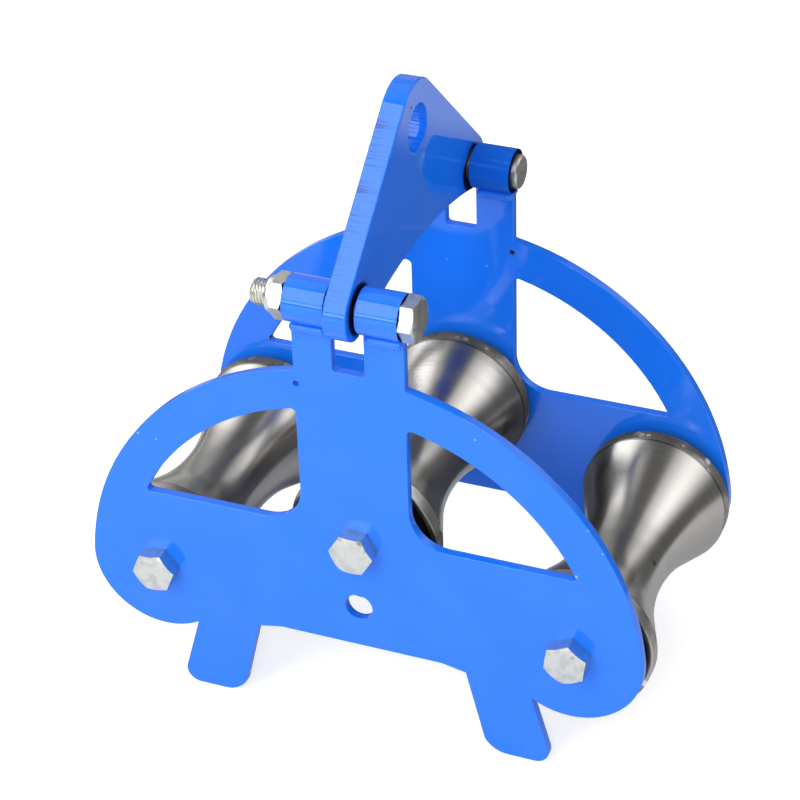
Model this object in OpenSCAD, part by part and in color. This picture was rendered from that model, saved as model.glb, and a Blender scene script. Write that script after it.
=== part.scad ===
// Three-roller hanging cable pulley.
// Two flame-cut side plates stand on splayed feet, three waisted rollers turn between them, and a
// triangular hanger closes the frame over the cable. X runs along the cable, Y from plate to plate.

/* [Side plates] */
// Thickness of each side plate
plate_t = 6; // [5:0.5:8]
// Clear distance between the two side plates
plate_gap = 173; // [165:1:190]
// Width of the post that carries the hinge barrels
post_w = 68; // [64:1:74]
// Width of the slot in the top of the post
slot_w = 19.5; // [18.5:0.5:21]
// Depth of the slot's floor below the hinge axis
slot_depth = 42.3; // [37:0.1:47]
// Height of the window sills above the feet
sill_z = 140; // [136:1:144]
// Corner radius of the windows beside the post
window_r = 23; // [16:1:26]
// Width of the arched band over the windows
band_w = 25.2; // [22:0.1:29]
// Height of the straight lower edge between the feet
belly_z = 58.5; // [54:0.5:62]
// Length of that straight edge
belly_w = 104; // [96:2:108]
// Diameter of the lower centre hole
anchor_d = 17; // [13:0.5:19]
// Height of the lower centre hole
anchor_z = 87; // [84:1:92]
// Diameter of the small marking hole beside the post
mark_d = 3.5; // [2.5:0.5:4.5]

/* [Feet] */
// Distance from the centre to the inner side of a foot at the lower edge
foot_in_x = 67; // [65:1:69]
// Distance from the centre to the outer side of a foot at floor level
foot_out_x = 122; // [120:1:126]
// Lean of the feet away from the vertical, in degrees
foot_lean = 16; // [14:1:17]
// Width of a foot measured level
foot_w = 41.5; // [38:0.5:43]
// Inner corner radius of the foot sole
sole_in_r = 17; // [12:1:18]
// Outer corner radius of the foot sole
sole_out_r = 9; // [6:1:10]

/* [Rollers] */
// Distance from the centre axle to each end axle
axle_pitch = 131.5; // [129:0.5:134]
// Height of the end axles above the feet
end_axle_z = 85.5; // [84:0.5:87]
// Height of the centre axle above the feet
mid_axle_z = 131; // [129:0.5:134]
// Radius of the rounded plate ends around the end axles
end_lobe_r = 44.5; // [43:0.5:46]
// Height of the centre of the arched top edge
arch_z = 73; // [70:0.5:79]
// Length of a roller
roller_len = 161; // [156:1:164]
// Diameter of the roller rims
rim_d = 93; // [90:0.5:94]
// Width of the cylindrical rims
rim_w = 9; // [7:0.5:11]
// Diameter at the middle of the groove
waist_d = 57; // [56:0.5:60]
// Radius of the groove's arc
groove_r = 134; // [126:1:138]
// Thickness of the rim wall around the end recess
rim_wall = 3.5; // [3:0.5:5]
// Depth of the dark end recess
recess_depth = 24; // [18:1:26]
// Outer diameter of the roller's hub
hub_d = 62; // [60:1:63]
// Distance of the hub face behind the roller's end
hub_set = 3; // [2:0.5:4]

/* [Bearings] */
// Outer diameter of the ball bearings
bearing_od = 47; // [46:0.5:48]
// Width of the ball bearings
bearing_w = 14; // [12:0.5:15]
// Outer diameter of the axle sleeve and bore of the bearings
sleeve_od = 20; // [19:0.5:21]
// Ball diameter
ball_d = 7.9; // [7.5:0.1:8.2]
// Number of balls in each bearing
ball_count = 8; // [7:1:9]
// Thickness of the snap ring that holds a bearing
snap_t = 1.75; // [1.5:0.25:2]

/* [Bolts] */
// Thread diameter of the axle bolts and of the pivot bolt
bolt_d = 16; // [15:0.5:16]
// Width across the flats of the hexagon heads and nuts
bolt_af = 24; // [22:0.5:25]
// Height of the bolt heads
head_h = 10; // [8:0.5:11]
// Height of the pivot bolt's head
pivot_head_h = 8.5; // [8:0.5:10]
// Height of the nuts
nut_h = 13; // [11:0.5:15]
// Height of the pivot bolt's lock nut, with its collar
lock_nut_h = 12; // [11:0.5:16]
// Height of the round collar on the lock nut
lock_collar_h = 4; // [3:0.5:5]
// Length of the axle bolts under the head
axle_bolt_len = 200; // [200:1:210]
// Length of the pivot bolt under the head
pivot_bolt_len = 91; // [89:1:96]

/* [Hinge] */
// Height of the hinge barrels' axis above the top of the arch
hinge_rise = 43.2; // [41:0.1:48]
// Clear distance between the two barrels of a hinge
hinge_gap = 18; // [17:0.5:20]
// Outer diameter of the hinge barrels
barrel_od = 27.5; // [26.5:0.5:29]
// Length of each hinge barrel
barrel_len = 25.7; // [25:0.1:28]
// Diameter of the release pin
pin_d = 21; // [20:0.5:22]
// Length that the release pin's tip stands out of its barrel
pin_tip = 4; // [2:0.5:6]
// Diameter of the release pin's collar
pin_head_d = 30; // [28:1:32]
// Thickness of the collar
pin_head_t = 9; // [8:0.5:11]
// Wire diameter of the pull ring
ring_wire = 3.5; // [3:0.25:4]
// Diameter of the pull ring, to the middle of its wire
ring_d = 38; // [34:1:42]

/* [Hanger] */
// Thickness of the hanger plate
yoke_t = 14; // [12:0.5:16]
// Height of the hanging eye above the hinge axis
eye_rise = 66.3; // [62:0.1:70]
// Offset of the eye from the middle, towards the far plate
eye_off = 3; // [0:0.1:4]
// Radius of the rounded top around the eye
eye_lobe_r = 28; // [26:0.1:31]
// Height of that rounding's centre above the eye
eye_top = 1.2; // [0:0.1:3]
// Diameter of the hanging eye
eye_d = 28; // [24:0.5:30]
// Radius of the hanger's two lower ends
yoke_lobe_r = 16.8; // [16:0.1:19]
// Distance of those ends' centres outside the hinge axes
lobe_out = 3.3; // [1:0.1:4]
// Distance of those ends' centres below the hinge axes
lobe_sink = 0.4; // [0:0.1:2]
// Height of the lower edge's middle below the hinge axis
yoke_rise = 4; // [3:0.5:8]

/* [Fits] */
// Radial clearance of bolts in their plain holes
bolt_play = 0.25; // [0.15:0.05:0.4]
// Radial clearance of turning and sliding fits
run_play = 0.05; // [0.03:0.01:0.08]
// Radial clearance of seated rings and threads
seat_play = 0.02; // [0.01:0.01:0.03]

/* [Hidden] */
SIDES = ["left", "mid", "right"];
STACK = ["roller", "outer_rings", "inner_rings", "balls", "cages", "seals", "snap_rings", "sleeve",
         "spacer", "collars"];
$fn = 96;
BLUE = "#2f7bf5";
STEEL = "#8d8a86";
ZINC = "#c9cbc4";
DARK = "#3a3a3c";

plate_y = (plate_gap + plate_t) / 2;       // mid-plane of each side plate
arch_r = norm([axle_pitch, end_axle_z - arch_z]) + end_lobe_r;
arch_turn = atan2(end_axle_z - arch_z, axle_pitch);
pivot_z = arch_z + arch_r + hinge_rise;    // height of the hinge axes
slot_floor = pivot_z - slot_depth;
window_arch_r = arch_r - band_w;
foot_tan = tan(foot_lean);
axle_hole_d = bolt_d + 2 * bolt_play;
barrel_r = barrel_od / 2;
barrel_x = hinge_gap / 2;                  // inner end of the +X barrels
hex_ac = bolt_af / cos(30);
edge_break = 0.6;                          // small chamfer on turned pieces
far_out = 400;                             // a length beyond the whole pulley

roller_half = roller_len / 2;
rim_r = rim_d / 2;
waist_r = waist_d / 2;
rim_in = roller_half - rim_w;              // where the flare meets the rim
// the flare is the tangent from the rim's inner corner to the groove's arc
rim_reach = norm([rim_in, waist_r + groove_r - rim_r]);
flare_turn = atan2(rim_in, waist_r + groove_r - rim_r) - acos(groove_r / rim_reach);
flare_y = groove_r * sin(flare_turn);
flare_r = waist_r + groove_r * (1 - cos(flare_turn));

hub_y = roller_half - hub_set;             // face of the hub
snap_set = 1.5;                            // hub lip outside the snap ring
snap_depth = 1.5;                          // depth of the snap ring's groove
bearing_y = hub_y - snap_set - snap_t - bearing_w;   // inner face of a bearing
bearing_mid_y = bearing_y + bearing_w / 2;
pitch_r = (bearing_od + sleeve_od) / 4;    // circle of ball centres
inner_land_r = pitch_r - ball_d * 0.3;
outer_land_r = pitch_r + ball_d * 0.3;
bearing_or = bearing_od / 2;
sleeve_r = sleeve_od / 2;
spacer_wall = 2.5;
hub_bore_r = bearing_or - 3;               // shoulder behind the bearings
cage_w = ball_d + 2;
cage_t = 1.6;
seal_t = 0.8;
barrel_bore_near = bolt_d / 2 + bolt_play;
barrel_bore_far = pin_d / 2 + run_play;
weld_leg = 6;
ring_hole_d = ring_wire + 1.5;
lug_t = 8;                                 // flat lug of the release pin
lug_r = 8;
lug_x = -barrel_x - barrel_len - pin_head_t - lug_r;
saddle_z = pivot_z - sqrt(barrel_r * barrel_r - plate_t * plate_t / 4);
AXLES = [[-axle_pitch, end_axle_z], [0, mid_axle_z], [axle_pitch, end_axle_z]];

// Point on a circle, by its centre, radius and angle
function on_circle(c, r, a) = [c[0] + r * cos(a), c[1] + r * sin(a)];

// Turns a shape drawn with Z as its axis so that it lies along +Y
module along_y() { rotate([-90, 0, 0]) children(); }

// Turns a shape drawn with Z as its axis so that it lies along +X
module along_x() { rotate([0, 90, 0]) children(); }

// Puts a shape on one of the three axles
module on_axle(i) { translate([AXLES[i][0], 0, AXLES[i][1]]) children(); }

// Draws a shape at both ends of a roller, the second turned about
module both_ends() { for (turn = [0, 180]) rotate([turn, 0, 0]) children(); }

// Rounds a window's corner between a straight side and the arch with radius r. The side is the
// line x = at, or y = at when level is true
module arch_corner(at, r, level) {
  reach = window_arch_r - r;
  c = level ? [sqrt(reach * reach - pow(at + r - arch_z, 2)), at + r]
            : [at + r, arch_z + sqrt(reach * reach - pow(at + r, 2))];
  q = on_circle([0, arch_z], window_arch_r + r, atan2(c[1] - arch_z, c[0]));
  difference() {
    polygon(level ? [c, [c[0], at - 1], [q[0] + r, at - 1], q]
                  : [c, q, [at - 1, q[1] + r], [at - 1, c[1]]]);
    translate(c) circle(r);
  }
}

// Square corner of a window at [x, y], rounded by r towards +X and +Y
module square_corner(x, y, r) {
  difference() {
    translate([x - 1, y - 1]) square(r + 1);
    translate([x + r, y + r]) circle(r);
  }
}

// One window on the +X side of the post
module window() {
  difference() {
    intersection() {
      translate([0, arch_z]) circle(window_arch_r, $fn = 180);
      translate([post_w / 2, sill_z]) square(arch_r);
    }
    square_corner(post_w / 2, sill_z, window_r);
    arch_corner(post_w / 2, 3, false);
    arch_corner(sill_z, 1.8, true);
  }
}

// Wedge outside a rounding of radius r at the corner p, whose sides leave it at angles a and b
module corner_piece(p, a, b, r) {
  half = abs(a - b) / 2;
  leg = r / tan(half);
  c = on_circle(p, r / sin(half), (a + b) / 2);
  turn = a > b ? 90 : -90;
  difference() {
    polygon([on_circle(p, 2, (a + b) / 2 + 180), on_circle(on_circle(p, leg, a), 1, a + turn),
             c, on_circle(on_circle(p, leg, b), 1, b - turn)]);
    translate(c) circle(r);
  }
}

// The foot on the +X side, leaning outwards, with a rounded flat sole
module foot() {
  top = end_axle_z;
  outer = [foot_out_x, 0];
  inner = [foot_out_x - foot_w, 0];
  difference() {
    polygon([inner, outer, [foot_out_x - foot_tan * top, top], [belly_w / 2, top],
             [belly_w / 2, belly_z], [foot_in_x, belly_z - 3]]);
    corner_piece(inner, 90 + foot_lean, 0, sole_in_r);
    corner_piece(outer, 90 + foot_lean, 180, sole_out_r);
  }
}

module plate_outline() {
  r = arch_r;
  difference() {
    union() {
      intersection() {
        translate([0, arch_z]) circle(r, $fn = 180);
        polygon([[0, arch_z], on_circle([0, arch_z], 1.2 * r, arch_turn), [1.2 * r, 1.5 * r + arch_z],
                 [-1.2 * r, 1.5 * r + arch_z], on_circle([0, arch_z], 1.2 * r, 180 - arch_turn)]);
      }
      for (s = [-1, 1]) translate([s * axle_pitch, end_axle_z]) circle(end_lobe_r);
      polygon([[-axle_pitch, belly_z], [axle_pitch, belly_z], [axle_pitch, end_axle_z],
               [0, arch_z + 1], [-axle_pitch, end_axle_z]]);
      translate([-post_w / 2, mid_axle_z]) square([post_w, saddle_z - mid_axle_z]);
      foot();
      mirror([1, 0]) foot();
    }
    window();
    mirror([1, 0]) window();
    difference() {
      translate([-slot_w / 2, slot_floor]) square([slot_w, far_out]);
      for (s = [0, 1]) mirror([s, 0]) square_corner(-slot_w / 2, slot_floor, 2);
    }
    for (a = AXLES) translate(a) circle(d = axle_hole_d);
    translate([0, anchor_z]) circle(d = anchor_d);
    translate([1.2 - post_w / 2, slot_floor - 13]) circle(d = mark_d);
  }
}

// The near side plate. The far one is the same plate turned half round
module side_plate() {
  color(BLUE) difference() {
    translate([0, -plate_gap / 2, 0]) rotate([90, 0, 0]) linear_extrude(plate_t) plate_outline();
    translate([-far_out / 2, -plate_y, pivot_z]) along_x() cylinder(r = barrel_r, h = far_out);
  }
}

// A short tube welded across the top of a post, drawn on the +X side
module barrel(side, bore) {
  color(BLUE) translate([barrel_x, side * plate_y, pivot_z]) along_x() difference() {
    cylinder(r = barrel_r, h = barrel_len);
    translate([0, 0, -1]) cylinder(r = bore, h = barrel_len + 2);
  }
}

// Fillet welds between the near plate's faces and its two barrels
module barrel_welds() {
  x0 = slot_w / 2 + 0.5;
  len = post_w / 2 - x0;
  side = plate_t / 2 + weld_leg;
  top = pivot_z - sqrt(barrel_r * barrel_r - side * side);
  color(BLUE) for (x = [x0, -x0 - len], face = [-1, 1])
    difference() {
      translate([x, -plate_y + face * plate_t / 2, 0]) rotate([90, 0, 90]) linear_extrude(len)
        polygon([[0, saddle_z - weld_leg], [face * weld_leg, top], [0, pivot_z]]);
      translate([-far_out / 2, -plate_y, pivot_z]) along_x() cylinder(r = barrel_r, h = far_out);
    }
}

// Outline of the hanger, drawn in X and Y with the hinge axis at y = 0
module yoke_outline() {
  eye = [eye_off, eye_rise + eye_top];
  half = plate_y + lobe_out;
  low = -lobe_sink - yoke_lobe_r;
  // angles of the normals of the two sloped sides, which touch the end circles and the eye's circle
  turns = [for (s = [-1, 1]) acos((eye_lobe_r - yoke_lobe_r) / norm([half - s * eye[0], lobe_sink + eye[1]]))
           - atan2(eye[1] + lobe_sink, half - s * eye[0])];
  // distances of those sides from the middle
  reach = [for (k = [0, 1]) (2 * k - 1) * cos(turns[k]) * eye[0] + sin(turns[k]) * eye[1] + eye_lobe_r];
  peak = [reach[1] * sin(turns[0]) - reach[0] * sin(turns[1]),
          reach[1] * cos(turns[0]) + reach[0] * cos(turns[1])] / sin(turns[0] + turns[1]);
  ends = [for (k = [0, 1]) (reach[k] - sin(turns[k]) * low) / cos(turns[k])];
  // the arched lower edge ends just inside the lowest points of the ends
  drop = -low - yoke_rise;
  arch = (pow(half - 1, 2) + drop * drop) / (2 * drop);
  difference() {
    polygon([peak, [ends[1], low], [-ends[0], low]]);
    corner_piece(peak, turns[1] - 90, -turns[0] - 90, eye_lobe_r);
    for (k = [0, 1]) mirror([1 - k, 0]) corner_piece([ends[k], low], 180, turns[k] + 90, yoke_lobe_r);
    translate([0, -yoke_rise - arch]) circle(arch, $fn = 360);
  }
}

module hanger_yoke() {
  color(BLUE) translate([-yoke_t / 2, 0, pivot_z]) difference() {
    rotate([90, 0, 90]) linear_extrude(yoke_t) yoke_outline();
    translate([-1, eye_off, eye_rise]) along_x() cylinder(d = eye_d, h = yoke_t + 2);
    translate([-1, -plate_y, 0]) along_x() cylinder(r = barrel_bore_near, h = yoke_t + 2);
    translate([-1, plate_y, 0]) along_x() cylinder(r = barrel_bore_far, h = yoke_t + 2);
  }
}

// Hexagon of height h with its corners chamfered at the top, and at the foot when both is true
module hexagon(h, both) {
  c = (hex_ac - bolt_af) / 2 * tan(30) + 0.2;
  wide = hex_ac / 2 + 0.2;
  thin = bolt_af / 2 - 0.35;
  foot = both ? thin : wide;
  cut = c + 0.35 * tan(30);
  intersection() {
    cylinder(d = hex_ac, h = h, $fn = 6);
    rotate_extrude() polygon([[0, 0], [foot, 0], [wide, both ? cut : 0], [wide, h - cut], [thin, h],
                              [0, h]]);
  }
}

// Hexagon bolt: the head above z = 0, the shank below it with a chamfered end
module hex_bolt(len, head) {
  union() {
    hexagon(head, false);
    translate([0, 0, -len]) rotate_extrude()
      polygon([[0, 0], [bolt_d / 2 - 1.2, 0], [bolt_d / 2, 1.2], [bolt_d / 2, len + 1], [0, len + 1]]);
  }
}

module hex_nut() {
  r = bolt_d / 2 + seat_play;
  difference() {
    hexagon(nut_h, true);
    rotate_extrude() polygon([[0, -1], [r + 1, -1], [r + 1, 0], [r, 1], [r, nut_h - 1],
                              [r + 1, nut_h], [r + 1, nut_h + 1], [0, nut_h + 1]]);
  }
}

// A lock nut with its foot at the origin, closed by a round collar
module lock_nut() {
  r = bolt_d / 2 + seat_play;
  hex_h = lock_nut_h - lock_collar_h;
  rim = bolt_af * 0.45;
  difference() {
    union() {
      hexagon(hex_h, true);
      rotate_extrude()
        polygon([[0, 1], [rim, 1], [rim, lock_nut_h - 2], [rim - 2, lock_nut_h], [0, lock_nut_h]]);
    }
    rotate_extrude() polygon([[0, -1], [r + 1, -1], [r + 1, 0], [r, 1], [r, lock_nut_h + 1],
                              [0, lock_nut_h + 1]]);
  }
}

module pivot_bolt() {
  x = barrel_x + barrel_len;
  color(ZINC) translate([x, -plate_y, pivot_z]) along_x() rotate([0, 0, 4.4 + 30]) 
    hex_bolt(pivot_bolt_len, pivot_head_h);
}

module pivot_nut() {
  x = -barrel_x - barrel_len;
  color(ZINC) translate([x, -plate_y, pivot_z]) along_x() rotate([0, 0, 32]) mirror([0, 0, 1]) lock_nut();
}

module axle_bolts() {
  turns = [7.6, 58.5, 22.2];               // angles at which the three heads stand
  color(ZINC) for (i = [0 : 2]) on_axle(i) translate([0, -plate_gap / 2 - plate_t, 0])
    rotate([90, 0, 0]) rotate([0, 0, turns[i]]) hex_bolt(axle_bolt_len, head_h);
}

module axle_nuts() {
  turns = [41, 12, 25];
  color(ZINC) for (i = [0 : 2]) on_axle(i) translate([0, plate_gap / 2 + plate_t, 0])
    along_y() rotate([0, 0, turns[i]]) hex_nut();
}

// Plain pin through the far barrels, with a collar and a flat lug for its pull ring at -X
module release_pin() {
  tip = barrel_x + barrel_len + pin_tip;
  seat = -barrel_x - barrel_len - 0.05;
  r = pin_d / 2;
  color(ZINC) translate([0, plate_y, pivot_z]) difference() {
    union() {
      along_x() rotate_extrude()
        polygon([[0, seat - pin_head_t], [pin_head_d / 2 - 1, seat - pin_head_t],
                 [pin_head_d / 2, seat - pin_head_t + 1], [pin_head_d / 2, seat - 1],
                 [pin_head_d / 2 - 1, seat], [r, seat], [r, tip - 1.2], [r - 1.2, tip], [0, tip]]);
      translate([lug_x, lug_t / 2, 0]) rotate([90, 0, 0]) cylinder(r = lug_r, h = lug_t);
      translate([lug_x, -lug_t / 2, -lug_r]) cube([seat - pin_head_t + 1 - lug_x, lug_t, 2 * lug_r]);
    }
    translate([lug_x, lug_t, 0]) rotate([90, 0, 0]) cylinder(d = ring_hole_d, h = 2 * lug_t);
  }
}

// Round wire ring, hanging from the lug of the release pin
module pull_ring() {
  color(STEEL) translate([lug_x, plate_y, pivot_z - ring_d / 2]) rotate([0, 90, 0])
    rotate_extrude() translate([ring_d / 2, 0]) circle(d = ring_wire, $fn = 48);
}

// Half section of a roller through its axis: x is the radius, y runs along the axle
module roller_section() {
  b = edge_break;
  difference() {
    polygon([[0, -roller_half], [rim_r - b, -roller_half], [rim_r, b - roller_half], [rim_r, -rim_in],
             [flare_r, -flare_y], [flare_r, flare_y], [rim_r, rim_in], [rim_r, roller_half - b],
             [rim_r - b, roller_half], [0, roller_half]]);
    translate([waist_r + groove_r, 0]) circle(groove_r, $fn = 360);
    square([2 * hub_bore_r, 2 * far_out], center = true);
    for (s = [0, 1]) mirror([0, s]) {
      y = roller_half - recess_depth;
      polygon([[0, hub_y], [hub_d / 2 - 1, hub_y], [hub_d / 2, hub_y - 1], [hub_d / 2, y],
               [hub_d / 2 + 3, y], [rim_r - rim_wall, roller_half - 3], [rim_r - rim_wall, far_out],
               [0, far_out]]);
      translate([0, bearing_y]) square([bearing_or + seat_play, far_out]);
      translate([0, bearing_y + bearing_w]) square([bearing_or + snap_depth, snap_t]);
    }
  }
}

module roller(i) {
  color(STEEL) on_axle(i) along_y() rotate_extrude() roller_section();
}

// Section of a bearing ring between two radii, with the ball groove cut out
module ring_section(r0, r1) {
  b = 0.5;
  difference() {
    polygon([[r0 + b, 0], [r1 - b, 0], [r1, b], [r1, bearing_w - b], [r1 - b, bearing_w],
             [r0 + b, bearing_w], [r0, bearing_w - b], [r0, b]]);
    translate([pitch_r, bearing_w / 2]) circle(ball_d / 2 + run_play);
  }
}

module outer_rings(i) {
  color(STEEL) on_axle(i) both_ends() translate([0, bearing_y, 0]) along_y()
    rotate_extrude() ring_section(outer_land_r, bearing_or);
}

module inner_rings(i) {
  color(STEEL) on_axle(i) both_ends() translate([0, bearing_y, 0]) along_y()
    rotate_extrude() ring_section(sleeve_r + seat_play, inner_land_r);
}

module balls(i) {
  color(ZINC) on_axle(i) both_ends() translate([0, bearing_mid_y, 0]) along_y()
    for (k = [1 : ball_count]) rotate([0, 0, 360 / ball_count * k]) translate([pitch_r, 0, 0])
      sphere(d = ball_d, $fn = 32);
}

module cages(i) {
  color(DARK) on_axle(i) both_ends() translate([0, bearing_mid_y, 0]) along_y() difference() {
    translate([0, 0, -cage_w / 2]) cylinder(r = pitch_r + cage_t / 2, h = cage_w);
    translate([0, 0, -cage_w]) cylinder(r = pitch_r - cage_t / 2, h = 2 * cage_w);
    for (k = [1 : ball_count]) rotate([0, 0, 360 / ball_count * k]) translate([pitch_r, 0, 0])
      along_x() translate([0, 0, -cage_t]) cylinder(r = ball_d / 2 + run_play, h = 2 * cage_t);
  }
}

module seals(i) {
  color(DARK) on_axle(i) both_ends() for (y = [0.3, bearing_w - 0.3 - seal_t])
    translate([0, bearing_y + y, 0]) along_y() difference() {
      cylinder(r = outer_land_r - seat_play, h = seal_t);
      translate([0, 0, -1]) cylinder(r = inner_land_r + 0.25, h = seal_t + 2);
    }
}

// Internal snap ring with two drilled ears
module snap_ring() {
  r = bearing_or + snap_depth - seat_play;
  t = snap_t - 2 * seat_play;
  linear_extrude(t) difference() {
    union() {
      difference() {
        circle(r);
        circle(r - 3.4);
        polygon([[0, 0], on_circle([0, 0], 2 * r, -104), on_circle([0, 0], 2 * r, -76)]);
      }
      for (a = [-108, -72]) translate(on_circle([0, 0], r - 4.6, a)) circle(3);
    }
    for (a = [-108, -72]) translate(on_circle([0, 0], r - 4.9, a)) circle(1.2);
  }
}

module snap_rings(i) {
  color(STEEL) on_axle(i) both_ends() translate([0, bearing_y + bearing_w + seat_play, 0])
    along_y() rotate([0, 0, 40]) snap_ring();
}

// Plain tube along Y between two distances from the middle of the axle
module tube(r0, r1, y0, y1) {
  translate([0, y0, 0]) along_y() difference() {
    cylinder(r = r1, h = y1 - y0);
    translate([0, 0, -1]) cylinder(r = r0, h = y1 - y0 + 2);
  }
}

module sleeve(i) {
  color(STEEL) on_axle(i) tube(bolt_d / 2 + 0.2, sleeve_r, -plate_gap / 2, plate_gap / 2);
}

module spacer(i) {
  color(STEEL) on_axle(i) tube(sleeve_r + 0.2, sleeve_r + spacer_wall, -bearing_y, bearing_y);
}

module collars(i) {
  color(STEEL) on_axle(i) both_ends()
    tube(sleeve_r + seat_play, inner_land_r - 1.4, bearing_y + bearing_w, plate_gap / 2);
}

side_plate();  // side_plate_near
rotate([0, 0, 180]) side_plate();  // side_plate_far
rotate([0, 0, 180]) barrel(1, barrel_bore_near);  // barrel_near_left
barrel(-1, barrel_bore_near);  // barrel_near_right
rotate([0, 0, 180]) barrel(-1, barrel_bore_far);  // barrel_far_left
barrel(1, barrel_bore_far);  // barrel_far_right
barrel_welds();  // barrel_welds_near
rotate([0, 0, 180]) barrel_welds();  // barrel_welds_far
hanger_yoke();
pivot_bolt();
pivot_nut();
release_pin();
pull_ring();
axle_bolts();
axle_nuts();
for (i = [0 : 2]) {
  roller(i);
  outer_rings(i);
  inner_rings(i);
  balls(i);
  cages(i);
  seals(i);
  snap_rings(i);
  sleeve(i);
  spacer(i);
  collars(i);
}
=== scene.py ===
"""Looks of a hanging cable pulley: blue enamelled side plates and hanger, waisted steel rollers on
ball bearings, zinc-plated bolts, a pivot bolt and a pull-out pin. It is laid out as an add-on."""

import math

import bmesh
import bpy
from bpy.props import FloatProperty, FloatVectorProperty, IntProperty, PointerProperty
from mathutils import Matrix, Vector


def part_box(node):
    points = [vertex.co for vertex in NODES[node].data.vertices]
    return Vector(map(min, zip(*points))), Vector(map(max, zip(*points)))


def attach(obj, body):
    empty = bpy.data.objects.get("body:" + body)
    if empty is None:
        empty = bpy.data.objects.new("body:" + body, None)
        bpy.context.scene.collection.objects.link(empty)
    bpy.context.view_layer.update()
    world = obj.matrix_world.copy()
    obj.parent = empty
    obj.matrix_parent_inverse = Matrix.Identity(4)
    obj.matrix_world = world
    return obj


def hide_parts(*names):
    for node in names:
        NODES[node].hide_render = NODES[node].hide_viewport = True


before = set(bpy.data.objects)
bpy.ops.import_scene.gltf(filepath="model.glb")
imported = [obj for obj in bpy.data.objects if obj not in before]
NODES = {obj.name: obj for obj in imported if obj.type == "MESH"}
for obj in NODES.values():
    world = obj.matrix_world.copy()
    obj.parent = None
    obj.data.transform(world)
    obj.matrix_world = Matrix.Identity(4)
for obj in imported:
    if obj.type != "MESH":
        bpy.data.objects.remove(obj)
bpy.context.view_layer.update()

bl_info = {
    "name": "Hanging cable pulley",
    "version": (1, 0, 0),
    "blender": (4, 5, 0),
    "location": "3D View > Sidebar > Pulley",
    "description": "Dresses the CAD frame of a three-roller hanging cable pulley",
    "category": "Object",
}

MM = 0.001
PLATE_FACE = 92.5 * MM      # outer face of either side plate, from the middle
BARREL_FOOT = 268 * MM      # height above which barrels and hanger begin
RIM_BAND = 9 * MM           # length of the cylindrical band at either end of a roller
HEX_FLATS = 24 * MM         # width of all hexagons across the flats
SHANK = 8 * MM              # radius of all bolts
SIDES = ("left", "mid", "right")


def mid_of(node):
    """Middle of a CAD node's box."""
    low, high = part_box(node)
    return (low + high) / 2


# ---------------------------------------------------------------- sizes and colours a user changes

class PaintLook(bpy.types.PropertyGroup):
    """Blue enamel on plates, barrels and hanger."""

    blue: FloatVectorProperty(name="Enamel", description="Colour of the blue enamel",
                              subtype="COLOR", size=3, min=0, max=1, default=(0.009, 0.18, 0.92))
    gloss: FloatProperty(name="Roughness", description="Roughness of the enamel",
                         min=0.02, max=1, default=0.32)
    coat: FloatProperty(name="Coat roughness", description="Roughness of the enamel's clear top",
                        min=0.0, max=1, default=0.05)
    edge: FloatProperty(name="Edge rounding", description="Rounding of the flame-cut edges",
                        subtype="DISTANCE", unit="LENGTH", default=0.7 * MM)
    hanger_edge: FloatProperty(name="Hanger edge rounding",
                               description="Rounding of the hanger's edges",
                               subtype="DISTANCE", unit="LENGTH", default=0.8 * MM)


class RollerLook(bpy.types.PropertyGroup):
    """Turned rollers."""

    steel: FloatVectorProperty(name="Steel", description="Colour of the turned steel",
                               subtype="COLOR", size=3, min=0, max=1, default=(0.47, 0.456, 0.438))
    rough: FloatProperty(name="Roughness", description="Roughness of the turned face",
                         min=0.02, max=1, default=0.2)
    turns: IntProperty(name="Segments", description="Steps round the roller", default=160)


class BoltLook(bpy.types.PropertyGroup):
    """Bolts, nuts and the release pin."""

    zinc: FloatVectorProperty(name="Zinc", description="Colour of the zinc plating",
                              subtype="COLOR", size=3, min=0, max=1, default=(0.7, 0.71, 0.665))
    pitch: FloatProperty(name="Thread pitch", description="Distance between two thread turns",
                         subtype="DISTANCE", unit="LENGTH", default=2.0 * MM)
    depth: FloatProperty(name="Thread depth", description="Depth of the thread",
                         subtype="DISTANCE", unit="LENGTH", default=1.1 * MM)


class StageLook(bpy.types.PropertyGroup):
    """Camera: where it stands, where it looks and its lens."""

    azimuth: FloatProperty(name="Azimuth", description="Camera's turn about the object",
                           subtype="ANGLE", default=math.radians(22.78))
    elevation: FloatProperty(name="Elevation", description="Camera's height angle",
                             subtype="ANGLE", default=math.radians(33.05))
    roll: FloatProperty(name="Roll", description="Camera's turn about its own axis",
                        subtype="ANGLE", default=math.radians(-1.88))
    distance: FloatProperty(name="Distance", description="Camera to the point it looks at",
                            subtype="DISTANCE", unit="LENGTH", default=1.5682)
    aim: FloatVectorProperty(name="Aim", description="Point the camera looks at",
                             subtype="TRANSLATION", size=3, default=(-0.008, 0.0, 0.175))
    lens: FloatProperty(name="Lens", description="Focal length in millimetres", default=117.1)


GROUPS = {"pulley_paint": PaintLook, "pulley_roller": RollerLook, "pulley_bolt": BoltLook,
          "pulley_stage": StageLook}


# ---------------------------------------------------------------- shader helpers

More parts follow.
